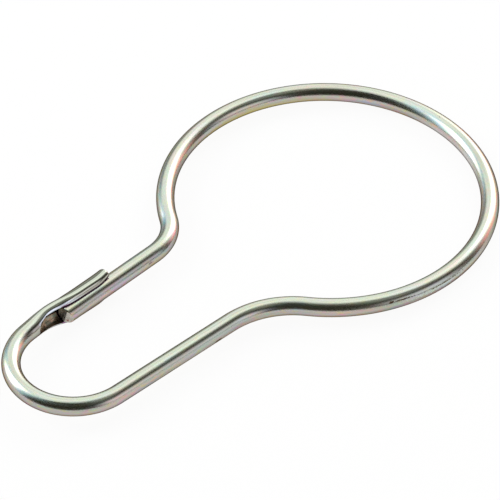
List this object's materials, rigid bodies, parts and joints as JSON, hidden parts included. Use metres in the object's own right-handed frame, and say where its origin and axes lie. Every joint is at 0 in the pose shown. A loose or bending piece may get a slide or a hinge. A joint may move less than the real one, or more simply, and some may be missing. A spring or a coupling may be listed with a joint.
{
  "type": "curtain hook",
  "caption": "Pear-shaped curtain hook bent from one length of plated spring wire, with a large rod ring, a small loop and a rolled trough that catches the free end.",
  "frame": {"origin": "centre of the rod ring, on the centre line of the wire", "axes": "+X from the small loop to the rod ring, +Y towards the leg with the free end, +Z square to the plane of the wire"},
  "size_m": [0.0785, 0.0464, 0.0044],
  "materials": {
    "wire": "bright zinc plate with a clear passivate that shows faint green, pink and yellow tints, and fine draw lines along the wire"
  },
  "bodies": {
    "root": {"curtain_hook": "wire"}
  },
  "joints": []
}
